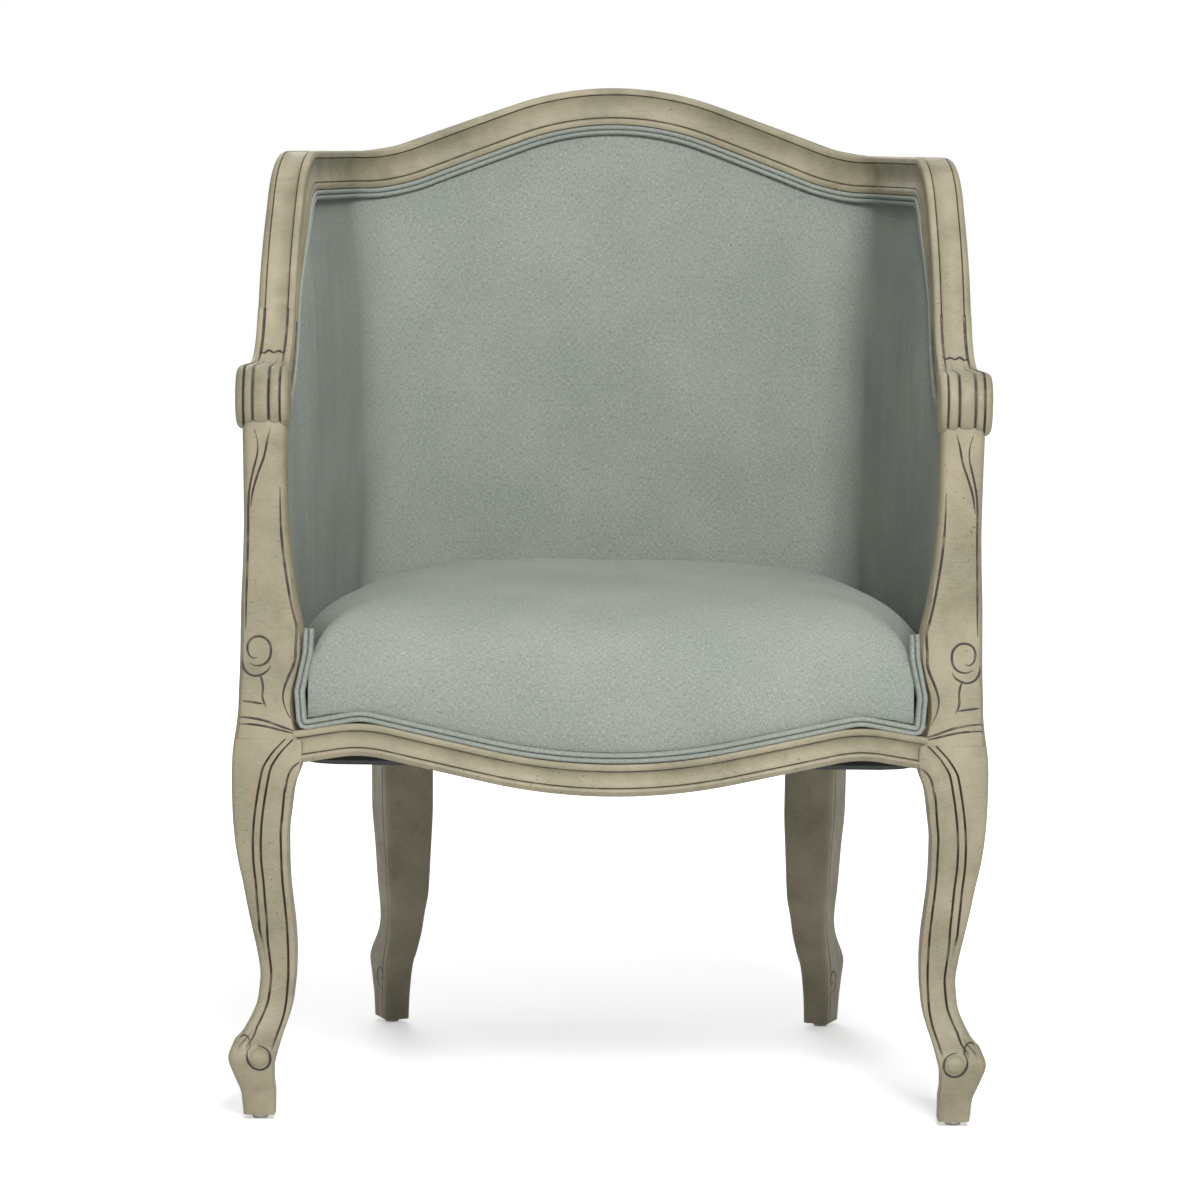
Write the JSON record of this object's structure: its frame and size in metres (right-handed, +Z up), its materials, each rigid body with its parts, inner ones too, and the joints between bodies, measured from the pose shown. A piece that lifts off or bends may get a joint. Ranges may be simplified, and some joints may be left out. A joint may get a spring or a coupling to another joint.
{
  "type": "upholstered tub armchair",
  "caption": "Low upholstered tub armchair with a moulded wooden rim, scrolled arm ends, a bowed seat rail, a tight crowned seat and cabriole legs.",
  "frame": {"origin": "on the floor, at the middle of the chair's width and depth", "axes": "+X towards the right seen from the front, +Y towards the back, +Z up"},
  "size_m": [0.6564, 0.5832, 0.8986],
  "materials": {
    "painted_wood": "rubbed grey-green paint with umber glaze in the incised lines",
    "bare_beech": "planed, unfinished",
    "dowel_beech": "turned, unfinished",
    "screw_steel": "zinc plated",
    "glide_plastic": "smooth",
    "webbing": "woven jute",
    "hessian": "open jute weave",
    "dust_cloth": "thin black cambric",
    "welt_cloth": "linen weave over cord",
    "cover_cloth": "linen weave",
    "foam": "open cell foam",
    "batting": "soft fibre"
  },
  "bodies": {
    "root": {"arm_rail_left": "painted_wood", "arm_rail_right": "painted_wood", "corner_block_front_left": "bare_beech", "corner_block_front_right": "bare_beech", "corner_block_rear_left": "bare_beech", "corner_block_rear_right": "bare_beech", "corner_block_screws": "screw_steel", "crest_rail": "painted_wood", "dust_cover": "dust_cloth", "frame_dowels": "dowel_beech", "front_post_left": "painted_wood", "front_post_right": "painted_wood", "front_seat_rail": "painted_wood", "glide_front_left": "glide_plastic", "glide_front_right": "glide_plastic", "glide_rear_left": "glide_plastic", "glide_rear_right": "glide_plastic", "inside_cover": "cover_cloth", "inside_foam": "foam", "inside_hessian": "hessian", "inside_welt": "welt_cloth", "outside_cover": "cover_cloth", "outside_padding": "batting", "outside_welt": "welt_cloth", "rear_post_left": "painted_wood", "rear_post_right": "painted_wood", "rear_seat_rail": "painted_wood", "seat_cover": "cover_cloth", "seat_foam": "foam", "seat_hessian": "hessian", "seat_webbing_cross": "webbing", "seat_webbing_long": "webbing", "seat_welt": "welt_cloth", "side_seat_rail_left": "painted_wood", "side_seat_rail_right": "painted_wood", "side_stile_left": "bare_beech", "side_stile_right": "bare_beech", "tacking_rail_arm_left": "bare_beech", "tacking_rail_arm_right": "bare_beech", "tacking_rail_back": "bare_beech", "tacking_rail_side_left": "bare_beech", "tacking_rail_side_right": "bare_beech", "wing_rail_left": "painted_wood", "wing_rail_right": "painted_wood"}
  },
  "joints": []
}
